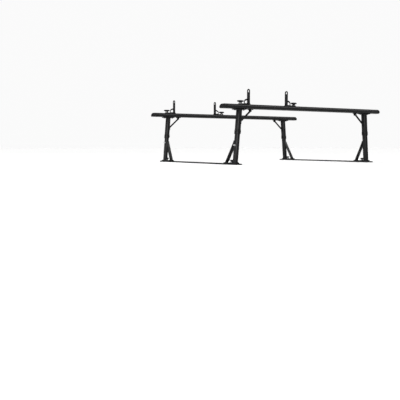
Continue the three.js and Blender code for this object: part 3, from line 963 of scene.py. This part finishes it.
def load_stop(node, away, x, y, base):
    """Arm, foot and gusset in one casting."""
    foot = STOP_FOOT
    half = ARM_WIDTH / 2
    place_x = moved(along_x, (x, y, base))
    place_y = moved(along_y, (x, y, base))
    place_z = moved(along_z, (x, y, base))
    arm = [Vector((half, GAP))] + arc(0, STOP_HEIGHT - half, half, half, 0, 180, 20)
    arm += [Vector((-half, GAP))]
    eye = circle(0, STOP_HEIGHT - EYE_DROP, EYE_RADIUS, 32)
    low, high = sorted((0, away * ARM_THICKNESS))
    bm = bmesh.new()
    add_solid(bm, [arm, eye], low, high, place_x, 1.3, 3)

    length = foot["heel"] + foot["reach"]
    centre = away * (foot["reach"] - foot["heel"]) / 2
    knob_x = middle_mm(node + "_knob").x - x
    plate = rounded_rectangle(length, foot["width"], foot["radius"], centre, 0)
    add_solid(
        bm, [plate, circle(knob_x, 0, STUD_HOLE, 24)], GAP, foot["thickness"], place_z, 1.2, 2
    )

    inside = ARM_THICKNESS / 2
    root = foot["thickness"] / 2
    start = Vector((ARM_THICKNESS, WEB["height"]))
    pull = Vector((ARM_THICKNESS + WEB_PULL["out"], WEB["height"] - WEB_PULL["drop"]))
    push = Vector((WEB["reach"] - WEB_PULL["side"], WEB["shoulder"] + WEB_PULL["up"]))
    finish = Vector((WEB["reach"], WEB["shoulder"]))
    bend = []
    for k in range(17):
        t = k / 16
        s = 1 - t
        bend.append(s**3 * start + 3 * s * s * t * pull + 3 * s * t * t * push + t**3 * finish)
    web = [Vector((inside, root)), Vector((inside, WEB["height"]))]
    web += bend + [Vector((WEB["reach"], root))]
    corners = [
        (WINDOW["inner"], WINDOW["bottom"]),
        (WINDOW["outer"], WINDOW["bottom"]),
        (WINDOW["outer"], WINDOW["outer_top"]),
        (WINDOW["inner"], WINDOW["inner_top"]),
    ]
    window = filleted(corners, WINDOW["radius"], 5)
    if away < 0:
        web, window = mirrored(web), mirrored(window)
    half_web = WEB["thickness"] / 2
    add_solid(bm, [web, window], -half_web, half_web, place_y, 1.2, 3)
    return fused(mesh_from(bm, node + "_rough"), node, 1.05, 2)


def knob_grip(node, knob, x, y, base, wings_along_x):
    """Moulded T-handle: thick domed wings over a fluted hub."""
    half = knob["span"] / 2
    hub, top, under = knob["hub"], knob["top"], knob["under"]
    tip_top = top - knob["crown"]
    right = [(hub, under, 4), (half, tip_top - knob["tip"], 3), (half, tip_top, 3), (hub, top, 12)]
    wing = right + [(-u, v, r) for u, v, r in reversed(right)]
    depth = knob["depth"] / 2
    bm = bmesh.new()
    place = moved(along_y if wings_along_x else along_x, (x, y, base))
    add_solid(bm, [filleted(wing, 1, 5)], -depth, depth, place, 2.8, 4)
    foot = KNOB_WASHER + GAP
    profile = [
        (hub - 1.2, foot), (hub, foot + 1.2), (hub, under), (hub, top - 4), (hub - 3, top - 2)
    ]
    add_lathe(bm, profile, (x, y, base), (0, 0, 1), 72, 12, 0.9)
    return fused(mesh_from(bm, node + "_rough"), node, 0.9 if knob is STOP_KNOB else 0.75, 3)


def knob_metal(name, knob, x, y, base, low):
    """Washer under the grip and the stud that goes down into the slot."""
    bm = bmesh.new()
    add_washer(bm, (x, y, base + GAP), (0, 0, 1), knob["hub"] + 0.4, KNOB_WASHER)
    add_thread(bm, (x, y, base), (0, 0, 1), STUD_RADIUS, low - base, KNOB_WASHER * 0.5)
    return mesh_from(bm, name, 30)


# ---------------------------------------------------------------- assembly


def build_upright(end, facing, side_name, side):
    name = f"{end}_{side_name}"
    base = f"{end}_frame"
    y = middle_mm(f"{end}_crossbar").y
    foot_top = box_mm(f"{name}_foot")[1].z
    knob = middle_mm(f"{name}_foot_knob")
    post = f"{name}_post"
    show(
        f"{name}_foot_plate",
        foot_plate(f"{name}_foot", side, y, facing, knob.y),
        base,
        frame_coat,
        [f"{name}_foot"],
    )
    show(f"{name}_inner_post", tube(post, POST, side, y), base, frame_coat, [post])
    show(
        f"{name}_diagonal_brace",
        brace(f"{name}_brace", side, y, facing, foot_top),
        base,
        frame_coat,
        [f"{name}_brace"],
    )
    show(
        f"{name}_welds",
        welds(f"{name}_welds", side, y, facing, foot_top),
        base,
        frame_coat,
    )
    show(
        f"{name}_frame_bolts",
        frame_bolts(f"{name}_frame_bolts", side, y, facing, foot_top, LOCK_Z[end]),
        base,
        zinc,
    )
    show(
        f"{name}_foot_slot_nut",
        softened(f"{name}_foot_nut", 0.4),
        base,
        zinc,
        [f"{name}_foot_nut"],
    )

    handle = f"{name}_foot_handle"
    low = box_mm(f"{name}_foot_knob")[0].z
    grip = knob_grip(f"{name}_foot_knob", FOOT_KNOB, knob.x, knob.y, foot_top, False)
    show(f"{name}_foot_grip", grip, handle, knob_plastic, [f"{name}_foot_knob"])
    stud = knob_metal(f"{name}_foot_stud", FOOT_KNOB, knob.x, knob.y, foot_top, low)
    show(f"{name}_foot_stud", stud, handle, zinc)

    head = f"{name}_head"
    saddle_low, saddle_high = box_mm(f"{name}_saddle")
    saddle_x = (saddle_low.x + saddle_high.x) / 2
    show(
        f"{name}_outer_sleeve",
        tube(f"{name}_sleeve", SLEEVE, side, y),
        head,
        frame_coat,
        [f"{name}_sleeve"],
    )
    show(
        f"{name}_clamp_collar",
        softened(f"{name}_collar", 0.8),
        head,
        steel_coat,
        [f"{name}_collar"],
    )
    show(
        f"{name}_cradle",
        saddle(f"{name}_saddle", saddle_x, y, saddle_high.z),
        head,
        frame_coat,
        [f"{name}_saddle"],
    )
    show(
        f"{name}_diagonal_strut",
        softened(f"{name}_strut", 0.9),
        head,
        steel_coat,
        [f"{name}_strut"],
    )
    show(
        f"{name}_bracket",
        softened(f"{name}_strut_bracket", 0.7),
        head,
        steel_coat,
        [f"{name}_strut_bracket"],
    )
    collar_z = middle_mm(f"{name}_collar").z
    underside = saddle_high.z + GAP
    foot_z = underside - STRUT_FOOT_DROP
    eye_x = middle_mm(f"{name}_strut_bracket").x
    eye = Vector((eye_x, y, underside - STRUT_EYE_DROP))
    bolts = saddle_bolts(f"{name}_cradle_bolts", saddle_x, y, saddle_high.z)
    show(f"{name}_cradle_bolts", bolts, head, steel_coat)
    bolts = head_bolts(f"{name}_head_bolts", y, side, collar_z, foot_z, eye)
    show(f"{name}_head_bolts", bolts, head, steel_coat)


def build_stop(end, side_name, away):
    name = f"{end}_{side_name}_stop"
    bar = box_mm(f"{end}_crossbar")
    y, top = (bar[0].y + bar[1].y) / 2, bar[1].z
    low, high = box_mm(name)
    x = low.x + STOP_FOOT["heel"] if away > 0 else high.x - STOP_FOOT["heel"]
    slider = f"{name}_slider"
    show(
        f"{name}_casting",
        load_stop(name, away, x, y, top),
        slider,
        cast_coat,
        [name],
    )
    show(
        f"{name}_slot_nut",
        softened(f"{name}_nut", 0.4),
        slider,
        zinc,
        [f"{name}_nut"],
    )
    knob = middle_mm(f"{name}_knob")
    stud_low = box_mm(f"{name}_knob")[0].z
    base = top + STOP_FOOT["thickness"]
    grip = knob_grip(f"{name}_knob", STOP_KNOB, knob.x, y, base, True)
    handle = f"{name}_handle"
    show(f"{name}_grip", grip, handle, knob_plastic, [f"{name}_knob"])
    show(
        f"{name}_stud",
        knob_metal(f"{name}_stud", STOP_KNOB, knob.x, y, base, stud_low),
        handle,
        zinc,
    )


for side_name in SIDES:
    show(
        f"{side_name}_rail",
        base_rail(side_name),
        "base",
        frame_coat,
        [f"{side_name}_base_rail"],
    )
    show(f"{side_name}_rail_covers", rail_covers(side_name), "base", cap_plastic)
    show(f"{side_name}_rail_cover_screws", cover_screws(side_name), "base", zinc)
for end, direction in ENDS.items():
    show(
        f"{end}_wing_bar",
        crossbar(end),
        f"{end}_bar",
        bar_coat,
        [f"{end}_crossbar"],
    )
    for side_name, side in SIDES.items():
        cap = end_cap(end, side_name, side)
        show(
            f"{end}_{side_name}_bar_cap",
            cap,
            f"{end}_bar",
            cap_plastic,
            [f"{end}_{side_name}_end_cap"],
        )
        build_upright(end, -direction, side_name, side)
        build_stop(end, side_name, side)


# ---------------------------------------------------------------- stage, light and camera

FLOOR_RADIUS = 40
FLOOR_LEVEL = -0.0002
CAMERA_PLACE = (-3.7638, -4.86404, 0.157416)
CAMERA_TURN = (31.9475, -4.9317, -0.0301)  # yaw, pitch and roll in degrees
CAMERA_LENS = 56.572


def floor():
    mesh = bpy.data.meshes.new("floor")
    bm = bmesh.new()
    edge = circle(0, 0, 1, 96)
    ring = [bm.verts.new((FLOOR_RADIUS * p.x, FLOOR_RADIUS * p.y, FLOOR_LEVEL)) for p in edge]
    bm.faces.new(ring)
    bm.to_mesh(mesh)
    bm.free()
    plane = bpy.data.objects.new("floor", mesh)
    bpy.context.scene.collection.objects.link(plane)
    g = Graph("floor_paint", (0.82, 0.82, 0.815), 0.0, 0.8, 0.2)
    shade = g.blended(g.noise(3, 3, 0.5), (0.80, 0.80, 0.80), (0.84, 0.84, 0.835))
    mesh.materials.append(g.finish(shade))


def area_light(name, where, aim, width, height, power):
    data = bpy.data.lights.new(name, "AREA")
    data.shape = "RECTANGLE"
    data.size = width
    data.size_y = height
    data.energy = power
    light = bpy.data.objects.new(name, data)
    bpy.context.scene.collection.objects.link(light)
    light.location = where
    light.rotation_mode = "QUATERNION"
    light.rotation_quaternion = (Vector(aim) - Vector(where)).to_track_quat("-Z", "Y")


def sun(name, source, spread, strength):
    """A broad even light from a direction, as from a ceiling of soft boxes."""
    data = bpy.data.lights.new(name, "SUN")
    data.angle = math.radians(spread)
    data.energy = strength
    light = bpy.data.objects.new(name, data)
    bpy.context.scene.collection.objects.link(light)
    light.rotation_mode = "QUATERNION"
    light.rotation_quaternion = (-Vector(source)).to_track_quat("-Z", "Y")


def sky(backdrop, surroundings):
    """A white backdrop behind the rack in a dim studio."""
    world = bpy.data.worlds.new("studio")
    bpy.context.scene.world = world
    world.use_nodes = True
    nodes, links = world.node_tree.nodes, world.node_tree.links
    background = nodes["Background"]
    background.inputs["Color"].default_value = (1.0, 1.0, 1.0, 1)
    path = nodes.new("ShaderNodeLightPath")
    level = nodes.new("ShaderNodeMapRange")
    level.inputs["To Min"].default_value = surroundings
    level.inputs["To Max"].default_value = backdrop
    links.new(path.outputs["Is Camera Ray"], level.inputs["Value"])
    links.new(level.outputs["Result"], background.inputs["Strength"])


def camera():
    data = bpy.data.cameras.new("camera")
    data.sensor_width = 36
    data.lens = CAMERA_LENS
    data.clip_start = 0.05
    data.clip_end = 200
    view = bpy.data.objects.new("camera", data)
    bpy.context.scene.collection.objects.link(view)
    yaw, pitch, roll = (math.radians(angle) for angle in CAMERA_TURN)
    flat = math.cos(pitch)
    ahead = Vector((math.sin(yaw) * flat, math.cos(yaw) * flat, math.sin(pitch)))
    level = Vector((math.cos(yaw), -math.sin(yaw), 0))
    upward = level.cross(ahead)
    right = level * math.cos(roll) + upward * math.sin(roll)
    up = upward * math.cos(roll) - level * math.sin(roll)
    turn = Matrix((right, up, -ahead)).transposed().to_4x4()
    view.matrix_world = Matrix.Translation(CAMERA_PLACE) @ turn
    bpy.context.scene.camera = view


bpy.context.scene.view_settings.view_transform = "Standard"
floor()
sky(0.96, 0.12)
sun("ceiling", (-0.35, 0.25, 0.9), 60, 2.15)
sun("front_box", (0.53, -0.5, 0.68), 40, 2.4)
area_light("side_box", (-5.87, -1.25, 1.1), (-0.4, -0.1, 0.3), 5.0, 2.0, 480)
camera()
